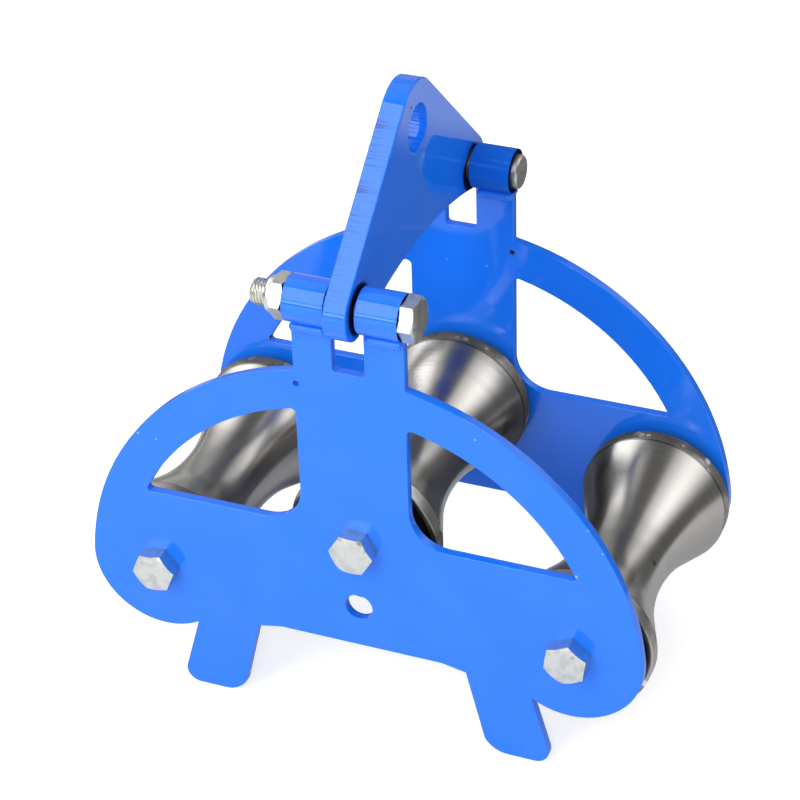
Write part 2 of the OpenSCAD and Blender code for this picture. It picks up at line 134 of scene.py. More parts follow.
class Tree:
    """Short ways to add and join nodes in a shader tree."""

    def __init__(self, tree):
        self.tree = tree

    def add(self, kind, **values):
        node = self.tree.nodes.new(kind)
        for key, value in values.items():
            setattr(node, key, value)
        return node

    def put(self, socket, value):
        """Sets a socket to a value, or joins another node's output to it."""
        if isinstance(value, bpy.types.NodeSocket):
            self.tree.links.new(value, socket)
        else:
            socket.default_value = value

    def math(self, operation, a, b=0.0, c=0.0, clamp=False):
        node = self.add("ShaderNodeMath", operation=operation, use_clamp=clamp)
        for socket, value in zip(node.inputs, (a, b, c)):
            self.put(socket, value)
        return node.outputs[0]

    def times(self, first, *others):
        """Product of two or more values."""
        for other in others:
            first = self.math("MULTIPLY", first, other)
        return first

    def vector(self, operation, a, b=(0, 0, 0)):
        node = self.add("ShaderNodeVectorMath", operation=operation)
        self.put(node.inputs[0], a)
        if operation == "SCALE":
            self.put(node.inputs[3], b)
        else:
            self.put(node.inputs[1], b)
        return node.outputs["Value"] if operation in ("LENGTH", "DISTANCE", "DOT_PRODUCT") \
            else node.outputs[0]

    def ramp(self, value, low, high, out_low=0.0, out_high=1.0):
        node = self.add("ShaderNodeMapRange", interpolation_type="SMOOTHSTEP")
        for socket, number in zip(node.inputs, (value, low, high, out_low, out_high)):
            self.put(socket, number)
        return node.outputs[0]

    def noise(self, vector, scale, detail=2.0, rough=0.5):
        node = self.add("ShaderNodeTexNoise")
        self.put(node.inputs["Vector"], vector)
        self.put(node.inputs["Scale"], scale)
        self.put(node.inputs["Detail"], detail)
        self.put(node.inputs["Roughness"], rough)
        return node.outputs[0]

    def mix(self, factor, a, b):
        node = self.add("ShaderNodeMix", data_type="RGBA")
        self.put(node.inputs[0], factor)
        for socket, value in ((node.inputs[6], a), (node.inputs[7], b)):
            joined_in = isinstance(value, bpy.types.NodeSocket)
            self.put(socket, value if joined_in else (*value[:3], 1.0))
        return node.outputs[2]

    def split(self, vector):
        node = self.add("ShaderNodeSeparateXYZ")
        self.put(node.inputs[0], vector)
        return node.outputs

    def join(self, x, y, z):
        node = self.add("ShaderNodeCombineXYZ")
        for socket, value in zip(node.inputs, (x, y, z)):
            self.put(socket, value)
        return node.outputs[0]

    def bump(self, height, distance, strength=1.0, normal=None):
        node = self.add("ShaderNodeBump")
        self.put(node.inputs["Height"], height)
        self.put(node.inputs["Distance"], distance)
        self.put(node.inputs["Strength"], strength)
        if normal is not None:
            self.put(node.inputs["Normal"], normal)
        return node.outputs[0]


def shader_group(name, inputs, outputs):
    """New shader node group with named sockets; gives its tree, inputs and outputs."""
    tree = bpy.data.node_groups.new(name, "ShaderNodeTree")
    for label, kind, value in inputs:
        socket = tree.interface.new_socket(label, in_out="INPUT", socket_type=kind)
        if value is not None:
            socket.default_value = value
    for label, kind in outputs:
        tree.interface.new_socket(label, in_out="OUTPUT", socket_type=kind)
    t = Tree(tree)
    return t, t.add("NodeGroupInput").outputs, t.add("NodeGroupOutput").inputs


def use(t, group, **values):
    """Places a shader node group in a tree."""
    node = t.add("ShaderNodeGroup", node_tree=group)
    for label, value in values.items():
        t.put(node.inputs[label.replace("_", " ")], value)
    return node.outputs


FLOAT, VECTOR = "NodeSocketFloat", "NodeSocketVector"


def make_grain_group():
    """Fine lines: noise stretched along two axes, for turning marks and drag lines."""
    t, i, o = shader_group("fine_lines", [("Place", VECTOR, None), ("Stretch", VECTOR, (1, 1, 1)),
                                          ("Detail", FLOAT, 3.0)], [("Lines", FLOAT)])
    place = t.vector("MULTIPLY", i["Place"], i["Stretch"])
    t.put(o["Lines"], t.noise(place, 1.0, i["Detail"], 0.6))
    return t.tree


def make_wear_group():
    """Small chips and nicks: sparse cells of uneven outline."""
    t, i, o = shader_group("chips", [("Place", VECTOR, None), ("Scale", FLOAT, 60.0),
                                     ("Size", FLOAT, 0.12), ("Share", FLOAT, 0.2)],
                           [("Mask", FLOAT)])
    rough = t.noise(i["Place"], 900.0, 3.0, 0.7)
    shifted = t.vector("ADD", i["Place"], t.vector("SCALE", t.join(rough, rough, rough), 0.0012))
    cells = t.add("ShaderNodeTexVoronoi")
    t.put(cells.inputs["Vector"], shifted)
    t.put(cells.inputs["Scale"], i["Scale"])
    chosen = t.math("LESS_THAN", t.split(cells.outputs["Color"])[0], i["Share"])
    small = t.ramp(cells.outputs["Distance"], i["Size"], t.times(i["Size"], 0.7))
    t.put(o["Mask"], t.times(chosen, small))
    return t.tree


def make_spot_group():
    """One worn spot round a point."""
    t, i, o = shader_group("spot", [("Place", VECTOR, None), ("Point", VECTOR, None),
                                    ("Radius", FLOAT, 0.002)], [("Mask", FLOAT)])
    ragged = t.noise(i["Place"], 700.0, 2.0, 0.6)
    away = t.math("ADD", t.vector("DISTANCE", i["Place"], i["Point"]),
                  t.times(t.math("SUBTRACT", ragged, 0.5), i["Radius"]))
    t.put(o["Mask"], t.ramp(away, i["Radius"], t.times(i["Radius"], 0.6)))
    return t.tree


def make_dust_group():
    """Thin uneven film: a broad mask that lightens and dulls a surface."""
    t, i, o = shader_group("film", [("Place", VECTOR, None), ("Scale", FLOAT, 14.0),
                                    ("Amount", FLOAT, 0.3)], [("Mask", FLOAT)])
    broad = t.ramp(t.noise(i["Place"], i["Scale"], 3.0, 0.55), 0.42, 0.68)
    t.put(o["Mask"], t.times(broad, i["Amount"]))
    return t.tree


class Kit:
    """Shader groups, made once."""

    def __init__(self):
        self.lines = make_grain_group()
        self.chips = make_wear_group()
        self.spot = make_spot_group()
        self.film = make_dust_group()


KIT = []


def kit():
    if not KIT:
        KIT.append(Kit())
    return KIT[0]


def new_material(name, colour, rough, metal=0.0, **sockets):
    """Material with a Principled shader; gives the material, its tree helper and the shader."""
    material = bpy.data.materials.new(name)
    material.use_nodes = True
    material.diffuse_color = (*colour, 1.0)
    shader = material.node_tree.nodes["Principled BSDF"]
    shader.inputs["Base Color"].default_value = (*colour, 1.0)
    shader.inputs["Roughness"].default_value = rough
    shader.inputs["Metallic"].default_value = metal
    for label, value in sockets.items():
        shader.inputs[label.replace("_", " ")].default_value = value
    t = Tree(material.node_tree)
    place = t.add("ShaderNodeTexCoord").outputs["Object"]
    return material, t, shader.inputs, place


def shade(colour, k):
    return tuple(min(1.0, c * k) for c in colour)


# chips that show in the enamel: place and radius in millimetres, and what shows in them
BARE, SCUFF = (0.03, 0.035, 0.035), (0.16, 0.36, 0.92)
CHIPS = (((132.6, -92.0, 143.3), 2.0, BARE), ((135.0, -92.5, 143.6), 1.1, (0.4, 0.44, 0.46)),
         ((141.6, -92.5, 177.2), 0.8, SCUFF), ((150.3, -92.5, 163.4), 0.8, SCUFF),
         ((75.2, -92.5, 223.3), 0.9, SCUFF), ((-137.4, -92.5, 180.7), 1.1, SCUFF),
         ((-125.7, -92.5, 179.0), 0.9, SCUFF), ((-133.8, 86.5, 143.5), 2.0, BARE),
         ((32.9, 90.6, 238.1), 3.9, BARE), ((-9.7, 86.5, 225.2), 0.7, SCUFF),
         ((16.3, 86.5, 225.3), 0.8, SCUFF), ((167.0, 86.5, 133.8), 0.9, SCUFF),
         ((7.0, -6.0, 376.0), 1.2, BARE))


def one_spot(t, place, point, radius):
    """Mask of one worn spot; point and radius are in millimetres."""
    return use(t, kit().spot, Place=place, Point=tuple(c * MM for c in point),
               Radius=radius * MM)["Mask"]


def hinge_gap_shade(t, place, hanger):
    """Painted shade in the gaps at the hinges: dark rings on the hanger round the barrels, dark
    rims at the barrels' ends.
    """
    x, y, z = t.split(place)
    at = mid_of("barrel_near_right")
    along = t.math("SUBTRACT", t.math("ABSOLUTE", y), -at.y)
    up = t.math("SUBTRACT", z, at.z)
    away = t.vector("LENGTH", t.join(0.0, along, up))
    wide = t.math("ABSOLUTE", x)
    if hanger:
        reach_far = t.ramp(up, 0.0, 11 * MM, 18.2 * MM, 14.4 * MM)
        reach = t.ramp(y, -MM, MM, 16.6 * MM, reach_far)
        ring = t.ramp(t.math("SUBTRACT", away, reach), 0.3 * MM, -2.8 * MM)
        return t.times(ring, t.ramp(wide, 6.2 * MM, 6.8 * MM))
    inner, outer = t.ramp(wide, 9.7 * MM, 9.2 * MM), t.ramp(wide, 34.2 * MM, 34.6 * MM)
    return t.times(t.math("MAXIMUM", inner, outer), t.ramp(away, 17.5 * MM, 17 * MM))


def drag_lines(t, place):
    """Masks of the deep and of the fine grooves that flame cutting leaves on an edge."""
    facing = t.math("ABSOLUTE", t.split(t.add("ShaderNodeTexCoord").outputs["Normal"])[0])
    cut = t.math("LESS_THAN", facing, 0.5)
    x, y, z = t.split(place)
    lines = use(t, kit().lines, Place=place, Stretch=(17.0, 780.0, 780.0), Detail=2.5)["Lines"]
    patchy = t.ramp(t.noise(place, 24.0, 1.0, 0.5), 0.35, 0.55, 0.0, 0.4)
    patchy = t.math("MAXIMUM", patchy, t.ramp(z, 320 * MM, 342 * MM))
    below_top = t.ramp(z, 383 * MM, 372 * MM, 0.15, 1.0)
    to_left = t.ramp(x, 4 * MM, -5 * MM, 0.35, 1.0)
    deep = t.times(t.ramp(lines, 0.5, 0.6), cut, patchy, below_top, to_left)
    fine = use(t, kit().lines, Place=place, Stretch=(60.0, 900.0, 900.0), Detail=2.0)["Lines"]
    return deep, t.times(fine, cut)


def plate_reflection_shade_mask(t, place):
    """Mask for painted shade in reflections: the plates' inner faces below the barrels, as the
    rollers mirror them.
    """
    x, y, z = t.split(place)
    inner = t.ramp(t.math("ABSOLUTE", y), PLATE_FACE - 0.2 * MM, PLATE_FACE - MM)
    return t.times(inner, t.ramp(z, BARREL_FOOT + 7 * MM, BARREL_FOOT, 0.0, 0.96))


def enamel(name, look, drag=False, clear=1.0, deep=1.0):
    """Glossy enamel with long soft waves, a thin film of dust, nicks, drag lines on cut edges and
    painted shade in the hinge gaps; deep below 1 darkens it all as painted shade. In the rollers'
    reflections the plates' inner faces get a dark grey painted shade, as in the photograph."""
    material, t, s, place = new_material(name, look.blue, look.gloss, 0.0,
                                         Coat_Weight=1.0, Coat_Roughness=look.coat,
                                         Specular_IOR_Level=0.0)
    film = use(t, kit().film, Place=place, Scale=9.0, Amount=0.08)["Mask"]
    # deep below 1 is painted shade: it darkens the whole enamel colour
    tone = t.mix(film, shade(look.blue, deep), shade(look.blue, 0.82 * deep))
    mist = use(t, kit().film, Place=place, Scale=23.0, Amount=0.04)["Mask"]
    tone = t.mix(mist, tone, (0.2, 0.32, 0.62))
    wave, peel = t.noise(place, 17.0, 1.0, 0.5), t.noise(place, 260.0, 1.0, 0.5)
    height = t.math("ADD", t.times(wave, 1.6), t.times(peel, 0.04))
    t.put(s["Coat Normal"], t.bump(height, 0.001, 0.35))
    worn = use(t, kit().chips, Place=place, Scale=46.0, Size=0.02, Share=0.05)["Mask"]
    bare = (0.36, 0.4, 0.44)
    for point, radius, shown in CHIPS:
        spot = one_spot(t, place, point, radius)
        worn = t.math("MAXIMUM", worn, spot)
        bare = t.mix(spot, bare, shown)
    if drag:
        groove, fine = drag_lines(t, place)
        tone = t.mix(t.times(groove, 0.85), tone, shade(look.blue, 0.28))
        height = t.math("SUBTRACT", height, t.times(groove, 0.35))
        height = t.math("SUBTRACT", height, t.times(fine, 0.12))
    # painted shade: near-black in the gaps at the hinges, with no clear coat there
    gap_shade = hinge_gap_shade(t, place, drag)
    tone = t.mix(worn, t.mix(gap_shade, tone, (0.003, 0.01, 0.035)), bare)
    # painted shade seen only in reflections: the plates' inner faces turn dark grey where the
    # rollers mirror them
    glossy = t.add("ShaderNodeLightPath").outputs["Is Glossy Ray"]
    painted_reflection_shade = t.times(glossy, plate_reflection_shade_mask(t, place))
    t.put(s["Base Color"], t.mix(painted_reflection_shade, tone, (0.15, 0.155, 0.16)))
    t.put(s["Roughness"], t.math("ADD", look.gloss, t.times(film, 0.35)))
    height = t.math("SUBTRACT", height, t.times(worn, 0.15))
    t.put(s["Normal"], t.bump(height, 0.001, 0.35))
    sound = t.math("SUBTRACT", 1.0, t.math("MAXIMUM", worn, gap_shade))
    t.put(s["Coat Weight"], t.times(sound, clear))
    return material


# dents and bright nicks that show on the rollers at rest, in millimetres
DENTS = (((156.3, -9.0, 100.1), 2.2),)
NICKS = (((121.4, 75.0, 130.9), 2.6), ((125.8, 75.0, 131.7), 1.8), ((148.5, 75.0, 128.8), 1.4),
         ((6.1, 75.0, 177.1), 2.2), ((20.0, 75.0, 173.0), 1.4))


def spots(t, place, points):
    """Mask of several worn spots."""
    mask = 0.0
    for point, radius in points:
        mask = t.math("MAXIMUM", one_spot(t, place, point, radius), mask)
    return mask


def turned(name, look):
    """Turned and cable-polished steel: fine rings round the axle, smoke, a scuffed rim."""
    material, t, s, place = new_material(name, look.steel, look.rough, 1.0, Anisotropic=0.4)
    rings = use(t, kit().lines, Place=place, Stretch=(9.0, 1500.0, 9.0), Detail=3.0)["Lines"]
    bands = use(t, kit().lines, Place=place, Stretch=(3.0, 90.0, 3.0), Detail=2.0)["Lines"]
    smoke = use(t, kit().film, Place=place, Scale=17.0, Amount=0.3)["Mask"]
    dents = use(t, kit().chips, Place=place, Scale=34.0, Size=0.04, Share=0.08)["Mask"]
    tone = t.mix(smoke, look.steel, shade(look.steel, 0.72))
    tone = t.mix(t.ramp(bands, 0.45, 0.75, 0.0, 0.2), tone, shade(look.steel, 0.66))
    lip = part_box("roller_mid")[1].y - RIM_BAND
    seam = t.ramp(t.math("ABSOLUTE", t.split(place)[1]), lip - 1.6 * MM, lip - 0.5 * MM)
    tone = t.mix(seam, tone, shade(look.steel, 0.3))
    dents = t.math("MAXIMUM", dents, spots(t, place, DENTS))
    t.put(s["Base Color"], t.mix(dents, tone, (0.16, 0.15, 0.14)))
    rough = t.math("ADD", look.rough - 0.06, t.times(rings, 0.14))
    t.put(s["Roughness"], t.math("ADD", rough, t.times(smoke, 0.12)))
    height = t.math("SUBTRACT", rings, t.times(dents, 2.5))
    t.put(s["Normal"], t.bump(height, 0.00008, 0.4))
    return material


def scuffed(name, look):
    """Cylindrical rim: duller, knocked about, with bright nicks."""
    material, t, s, place = new_material(name, shade(look.steel, 0.75), 0.4, 1.0)
    rings = use(t, kit().lines, Place=place, Stretch=(30.0, 700.0, 30.0), Detail=3.0)["Lines"]
    nicks = use(t, kit().chips, Place=place, Scale=110.0, Size=0.34, Share=0.24)["Mask"]
    nicks = t.math("MAXIMUM", nicks, spots(t, place, NICKS))
    smut = use(t, kit().film, Place=place, Scale=60.0, Amount=0.8)["Mask"]
    tone = t.mix(smut, shade(look.steel, 0.85), shade(look.steel, 0.4))
    t.put(s["Base Color"], t.mix(nicks, tone, (0.78, 0.78, 0.78)))
    t.put(s["Roughness"], t.math("ADD", 0.28, t.times(smut, 0.3)))
    t.put(s["Normal"], t.bump(t.math("SUBTRACT", rings, nicks), 0.0004, 0.5))
    return material


def rough_cast(name, colour, rough=0.75):
    """Unworked iron inside the roller's ends, near-black: partly the iron's own dark tone, partly
    painted shade in the recesses.
    """
    material, t, s, place = new_material(name, colour, rough, 0.25)
    lumps = t.noise(place, 420.0, 5.0, 0.65)
    rust = use(t, kit().film, Place=place, Scale=70.0, Amount=0.6)["Mask"]
    t.put(s["Base Color"], t.mix(rust, colour, (0.075, 0.05, 0.035)))
    t.put(s["Roughness"], t.math("ADD", rough - 0.2, t.times(lumps, 0.4)))
    t.put(s["Normal"], t.bump(lumps, 0.0009, 0.8))
    return material


def plated(name, colour, rough=0.32, metal=1.0, lines=(220.0, 220.0, 220.0)):
    """Plated or drawn steel: cloudy tone, faint tool marks and small stains."""
    material, t, s, place = new_material(name, colour, rough, metal)
    cloud = use(t, kit().film, Place=place, Scale=150.0, Amount=0.55)["Mask"]
    marks = use(t, kit().lines, Place=place, Stretch=lines, Detail=4.0)["Lines"]
    stain = use(t, kit().chips, Place=place, Scale=190.0, Size=0.3, Share=0.12)["Mask"]
    tone = t.mix(cloud, colour, shade(colour, 0.68))
    tone = t.mix(t.times(stain, 0.5), tone, shade(colour, 0.45))
    t.put(s["Base Color"], tone)
    t.put(s["Roughness"], t.math("ADD", rough - 0.08, t.times(marks, 0.22)))
    t.put(s["Normal"], t.bump(marks, 0.0003, 0.5))
    return material


def soft_black(name, colour, rough):
    """Moulded rubber and oiled spring steel."""
    material, t, s, place = new_material(name, colour, rough)
    grain = t.noise(place, 1500.0, 3.0, 0.6)
    bloom = use(t, kit().film, Place=place, Scale=90.0, Amount=0.5)["Mask"]
    t.put(s["Base Color"], t.mix(bloom, colour, shade(colour, 2.2)))
    t.put(s["Roughness"], t.math("ADD", rough - 0.1, t.times(grain, 0.2)))
    t.put(s["Normal"], t.bump(grain, 0.0001, 0.4))
    return material


# ---------------------------------------------------------------- mesh helpers

def settings():
    scene = bpy.context.scene
    return scene.pulley_paint, scene.pulley_roller, scene.pulley_bolt, scene.pulley_stage


def paint(nodes, material):
    """Gives CAD nodes a material."""
    for name in nodes:
        slots = NODES[name].data.materials
        slots.clear()
        slots.append(material)


def break_edges(name, width):
    """Rounds a CAD node's sharp edges a little, so that they catch the light."""
    node = NODES[name]
    weld = node.modifiers.new("weld", "WELD")
    weld.merge_threshold = 0.00001
    flat = node.modifiers.new("flat", "DECIMATE")
    flat.decimate_type = "DISSOLVE"
    flat.angle_limit = math.radians(0.5)
    bevel = node.modifiers.new("edge", "BEVEL")
    bevel.width = width
    bevel.segments = 2
    bevel.limit_method = "ANGLE"
    bevel.angle_limit = math.radians(40)
    bevel.use_clamp_overlap = False
    even = node.modifiers.new("even", "WEIGHTED_NORMAL")
    even.mode, even.weight, even.keep_sharp = "FACE_AREA", 100, False
    smooth_by_angle(node.data, 30)


def smooth_by_angle(mesh, degrees):
    mesh.shade_smooth()
    mesh.set_sharp_from_angle(angle=math.radians(degrees))


def new_piece(name, build, materials, degrees=35):
    """Mesh object from a bmesh function, at the origin."""
    bm = bmesh.new()
    build(bm)
    bmesh.ops.remove_doubles(bm, verts=bm.verts, dist=1e-7)
    bmesh.ops.recalc_face_normals(bm, faces=bm.faces)
    mesh = bpy.data.meshes.new(name)
    bm.to_mesh(mesh)
    bm.free()
    for material in materials:
        mesh.materials.append(material)
    smooth_by_angle(mesh, degrees)
    piece = bpy.data.objects.new(name, mesh)
    bpy.context.scene.collection.objects.link(piece)
    return piece


def lathe(bm, section, centre, axis, steps, material_of=None):
    """Turns a section of (radius, place along the axis) points round an axis through centre."""
    axis = Vector(axis)
    side = axis.orthogonal().normalized()
    other = axis.cross(side)
    rings = []
    for radius, along in section:
        if radius < 1e-7:
            rings.append([bm.verts.new(centre + axis * along)])
            continue
        rings.append([bm.verts.new(centre + axis * along + radius * (
            math.cos(2 * math.pi * k / steps) * side + math.sin(2 * math.pi * k / steps) * other))
            for k in range(steps)])
    for index, (a, b) in enumerate(zip(rings, rings[1:])):
        for k in range(steps):
            m = (k + 1) % steps
            corners = [a[k % len(a)], a[m % len(a)], b[m % len(b)], b[k % len(b)]]
            corners = list(dict.fromkeys(corners))
            if len(corners) > 2:
                face = bm.faces.new(corners)
                face.material_index = material_of(index) if material_of else 0


def rounded(points, radii, steps=4):
    """Rounds the corners of an open line of points; radii holds one radius for each point."""
    out = []
    for k, (point, radius) in enumerate(zip(points, radii)):
        if radius <= 0 or k in (0, len(points) - 1):
            out.append(tuple(point))
            continue
        p = Vector(point)
        a = (Vector(points[k - 1]) - p).normalized()
        b = (Vector(points[k + 1]) - p).normalized()
        half = a.angle(b) / 2
        leg = radius / math.tan(half)
        middle = p + (a + b).normalized() * radius / math.sin(half)
        start, end = p + a * leg - middle, p + b * leg - middle
        turn = start.angle_signed(end)
        for j in range(steps + 1):
            spin = Matrix.Rotation(-turn * j / steps, 2)
            out.append(tuple(middle + spin @ start))
    return out


# ---------------------------------------------------------------- operators

class PULLEY_OT_frame_paint(bpy.types.Operator):
    """Enamels the side plates, barrels and hanger"""

    bl_idname = "pulley.frame_paint"
    bl_label = "Enamel the frame"

    def execute(self, context):
        look = settings()[0]
        plates = [n for n in NODES if n.startswith(("side_plate", "barrel_"))]
        paint(plates, enamel("enamel", look))
        # painted shade: a darker copy of the enamel, with little clear coat, for the far barrels
        shaded_enamel = enamel("enamel_shaded_copy", look, clear=0.15, deep=0.72)
        paint(["barrel_far_left", "barrel_far_right"], shaded_enamel)
        paint(["hanger_yoke"], enamel("enamel_hanger", look, drag=True))
        for name in plates:
            if "welds" not in name:
                break_edges(name, look.edge)
        break_edges("hanger_yoke", look.hanger_edge)
        return {"FINISHED"}


class PULLEY_OT_rollers(bpy.types.Operator):
    """Turns the three rollers, with rounded rims, recessed ends and a bearing seat"""

    bl_idname = "pulley.rollers"
    bl_label = "Rollers"

    def execute(self, context):
        look = settings()[1]
        # the recess skin is near-black: the iron's own dark tone and painted shade in the roller's
        # recessed ends
        skins = [turned("turned_steel", look), scuffed("rim_steel", look),
                 rough_cast("recess_iron_and_shade", (0.03, 0.028, 0.027))]
        for side in SIDES:
            node = "roller_" + side
            section, skin = roller_section(node)
            middle = mid_of(node)
            piece = new_piece(node + "_turned", lambda bm: lathe(
                bm, section, middle, (0, 1, 0), look.turns, lambda k: skin[k]), skins, 28)
            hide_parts(node)
            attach(piece, node)
        return {"FINISHED"}


def roller_section(node):
    """Closed section of a roller, and the index of the skin for each of its stretches."""
    low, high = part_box(node)
    half, rim = (high.y - low.y) / 2, (high.x - low.x) / 2
    waist, arc, rim_in = 28.5 * MM, 134.0 * MM, half - RIM_BAND
    wall, hub, set_back, deep = 3.5 * MM, 31 * MM, 3 * MM, 24 * MM
    seat, bore = 23.52 * MM, 20.5 * MM
    seat_y = half - (3 + 1.5 + 1.75 + 14) * MM
    snap_y, snap_r = half - (3 + 1.5 + 1.75) * MM, 25.0 * MM
    reach = math.hypot(rim_in, waist + arc - rim)
    turn = math.atan2(rim_in, waist + arc - rim) - math.acos(arc / reach)
    outer = [(waist + arc * (1 - math.cos(turn * k / 40)), arc * math.sin(turn * k / 40))
             for k in range(41)]
    edge = rounded([outer[-1], (rim, rim_in), (rim, half), (rim - wall, half),
                    (rim - wall, half - 3 * MM), (hub + 3 * MM, half - deep), (hub, half - deep),
                    (hub, half - set_back), (seat, half - set_back), (seat, snap_y + 1.75 * MM),
                    (snap_r, snap_y + 1.75 * MM), (snap_r, snap_y), (seat, snap_y), (seat, seat_y),
                    (bore, seat_y), (bore, 0)],
                   [0, 0.5 * MM, 0.8 * MM, 0.5 * MM, 1 * MM, 1 * MM, 1 * MM, 1 * MM,
                    0.3 * MM, 0, 0, 0, 0, 0, 0.4 * MM, 0])
    right = outer + edge[1:]
    skins = []
    for (r0, y0), (r1, y1) in zip(right, right[1:]):
        y, r = (y0 + y1) / 2, (r0 + r1) / 2
        if y < rim_in and r > bore * 1.2 and len(skins) < len(outer) + 1:
            skins.append(0)
        elif r > rim - wall - 0.1 * MM and y > rim_in - MM:
            skins.append(1)
        else:
            skins.append(2 if r > seat + 0.2 * MM or r < bore + MM else 1)
    left = [(r, -y) for r, y in reversed(right)]
    section = left + right[1:]
    return section + [section[0]], skins[::-1] + skins + [2]


class PULLEY_OT_bearings(bpy.types.Operator):
    """Finishes what sits on the axles: bearings, seals, snap rings, sleeves, spacers and collars"""

    bl_idname = "pulley.bearings"
    bl_label = "Bearings and axles"

    def execute(self, context):
        ground = plated("ground_steel", (0.5, 0.5, 0.5), 0.25, lines=(40.0, 1200.0, 40.0))
        skins = {
            "outer_rings": ground, "inner_rings": ground, "sleeve": ground, "spacer": ground,
            "collars": ground,
            "balls": plated("ball_steel", (0.75, 0.75, 0.75), 0.14),
            "cages": plated("cage_brass", (0.6, 0.42, 0.16), 0.35),
            "seals": soft_black("seal_rubber", (0.02, 0.02, 0.021), 0.6),
            "snap_rings": soft_black("spring_steel", (0.05, 0.05, 0.052), 0.4),
        }
        for piece, material in skins.items():
            paint([f"{piece}_{side}" for side in SIDES], material)
        return {"FINISHED"}


def hexagon(bm, centre, axis, flats, height, turn, both=False):
    """Hexagon head or nut with rounded-off corners: flat sides cut by a chamfer cone."""
    axis = Vector(axis)
    side = Vector((1, 0, 0)) if abs(axis.y) > 0.5 else Vector((0, 1, 0))
    other = axis.cross(side)
    steps, inner = 72, flats / 2
    cone = math.tan(math.radians(30))
    rings = []

    def ring(level, radius=None):
        """One ring round the hexagon. level 0 is the foot and 1 the top edge of the sides."""
        verts = []
        for k in range(steps):
            angle = 2 * math.pi * k / steps
            wedge = (angle + math.pi / 6) % (math.pi / 3) - math.pi / 6
            wide = inner / math.cos(math.pi / 6 - abs(wedge))
            r = radius if radius is not None else wide
            cut = max(0.0, wide - inner * 0.985) * cone
            z = level * height
            if radius is None:
                z = height - cut if level == 1 else (cut if both else 0.0)
            at = angle + turn
            out = math.cos(at) * side + math.sin(at) * other
            verts.append(bm.verts.new(centre + axis * z + r * out))
        rings.append(verts)

    if both:
        ring(0, inner * 0.62)
        ring(0, inner * 0.96)
    else:
        ring(0, inner * 0.3)
    ring(0)
    ring(1)
    ring(1, inner * 0.965)
    ring(1, inner * 0.62 if both else inner * 0.3)
    for a, b in zip(rings, rings[1:]):
        for k in range(steps):
            m = (k + 1) % steps
            bm.faces.new([a[k], a[m], b[m], b[k]])
    if not both:
        bm.faces.new(rings[0][::-1])
        bm.faces.new(rings[-1])
    return rings


def thread(bm, start, axis, radius, length, pitch, depth, steps=40):
    """Threaded length as one spiral ridge with a small chamfer at its end, closed at both ends."""
    axis = Vector(axis)
    side = axis.orthogonal().normalized()
    other = axis.cross(side)
    per = 6
    rows = int(length / pitch * per) + 1
    last = None
    rings = []
    for row in range(rows):
        ring = []
        along = length * row / (rows - 1)
        for k in range(steps):
            angle = 2 * math.pi * k / steps
            phase = (along / pitch - k / steps) % 1.0
            ridge = 1 - abs(2 * phase - 1)
            r = radius - depth * (1 - min(1.0, max(0.0, ridge * 1.5 - 0.2)))
            fade = max(0.0, along - (length - 1.4 * MM))
            r = min(r, radius - depth * 0.2 - fade * 0.75)
            out = math.cos(angle) * side + math.sin(angle) * other
            ring.append(bm.verts.new(start + axis * along + r * out))
        rings.append(ring)
    for a, b in zip(rings, rings[1:]):
        for k in range(steps):
            m = (k + 1) % steps
            bm.faces.new([a[k], a[m], b[m], b[k]])
    bm.faces.new(rings[0][::-1])
    bm.faces.new(rings[-1])


def disc_rod(bm, start, axis, radius, length, steps=48):
    """Plain round bar."""
    lathe(bm, [(0, 0), (radius, 0), (radius, length), (0, length)], Vector(start), axis, steps)


class PULLEY_OT_bolts(bpy.types.Operator):
    """Makes the bolts and nuts, with chamfered hexagons and real threads where they show"""

    bl_idname = "pulley.bolts"
    bl_label = "Bolts and nuts"

    def execute(self, context):
        look = settings()[2]
        zinc = plated("zinc", look.zinc, 0.28)
        head, nut = 10 * MM, 13 * MM
        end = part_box("axle_bolts")[1].y

        def axle_bolts(bm):
            for side, turn in zip(SIDES, (7.6, 58.5, 22.2)):
                at = mid_of("sleeve_" + side)
                front = Vector((at.x, -PLATE_FACE, at.z))
                back = Vector((at.x, PLATE_FACE, at.z))
                hexagon(bm, front, (0, -1, 0), HEX_FLATS, head, math.radians(turn))
                disc_rod(bm, front, (0, 1, 0), SHANK, 2 * PLATE_FACE)
                thread(bm, back, (0, 1, 0), SHANK, end - PLATE_FACE, look.pitch, look.depth)

        def axle_nuts(bm):
            for side, turn in zip(SIDES, (41, 12, 25)):
                at = mid_of("sleeve_" + side)
                back = Vector((at.x, PLATE_FACE, at.z))
                nut_body(bm, back, (0, 1, 0), HEX_FLATS, nut, math.radians(turn), SHANK)

        low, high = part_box("pivot_bolt")
        at = mid_of("barrel_near_right")
        side_head = 8.5 * MM
        seat = high.x - side_head
        right, left = Vector((seat, at.y, at.z)), Vector((-seat, at.y, at.z))

        def pivot_bolt(bm):
            hexagon(bm, right, (1, 0, 0), HEX_FLATS, side_head, math.radians(4.4))
            disc_rod(bm, left, (1, 0, 0), SHANK, 2 * seat)
            thread(bm, left, (-1, 0, 0), SHANK, -seat - low.x, look.pitch, look.depth)

        def pivot_nut(bm):
            nut_body(bm, left, (-1, 0, 0), HEX_FLATS, 8 * MM, math.radians(-2), SHANK)
            bore, wide, foot, top = SHANK + 0.4 * MM, 0.45 * HEX_FLATS, 6 * MM, 12 * MM
            collar = rounded([(bore, foot), (wide, foot), (wide, top), (bore, top), (bore, foot)],
                             [0, 0, 2 * MM, 0.4 * MM, 0])
            lathe(bm, collar, left, (-1, 0, 0), 64)

        for name, build in (("axle_bolts", axle_bolts), ("axle_nuts", axle_nuts),
                            ("pivot_bolt", pivot_bolt), ("pivot_nut", pivot_nut)):
            piece = new_piece(name + "_zinc", build, [zinc], 25)
            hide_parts(name)
            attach(piece, "frame")
        return {"FINISHED"}


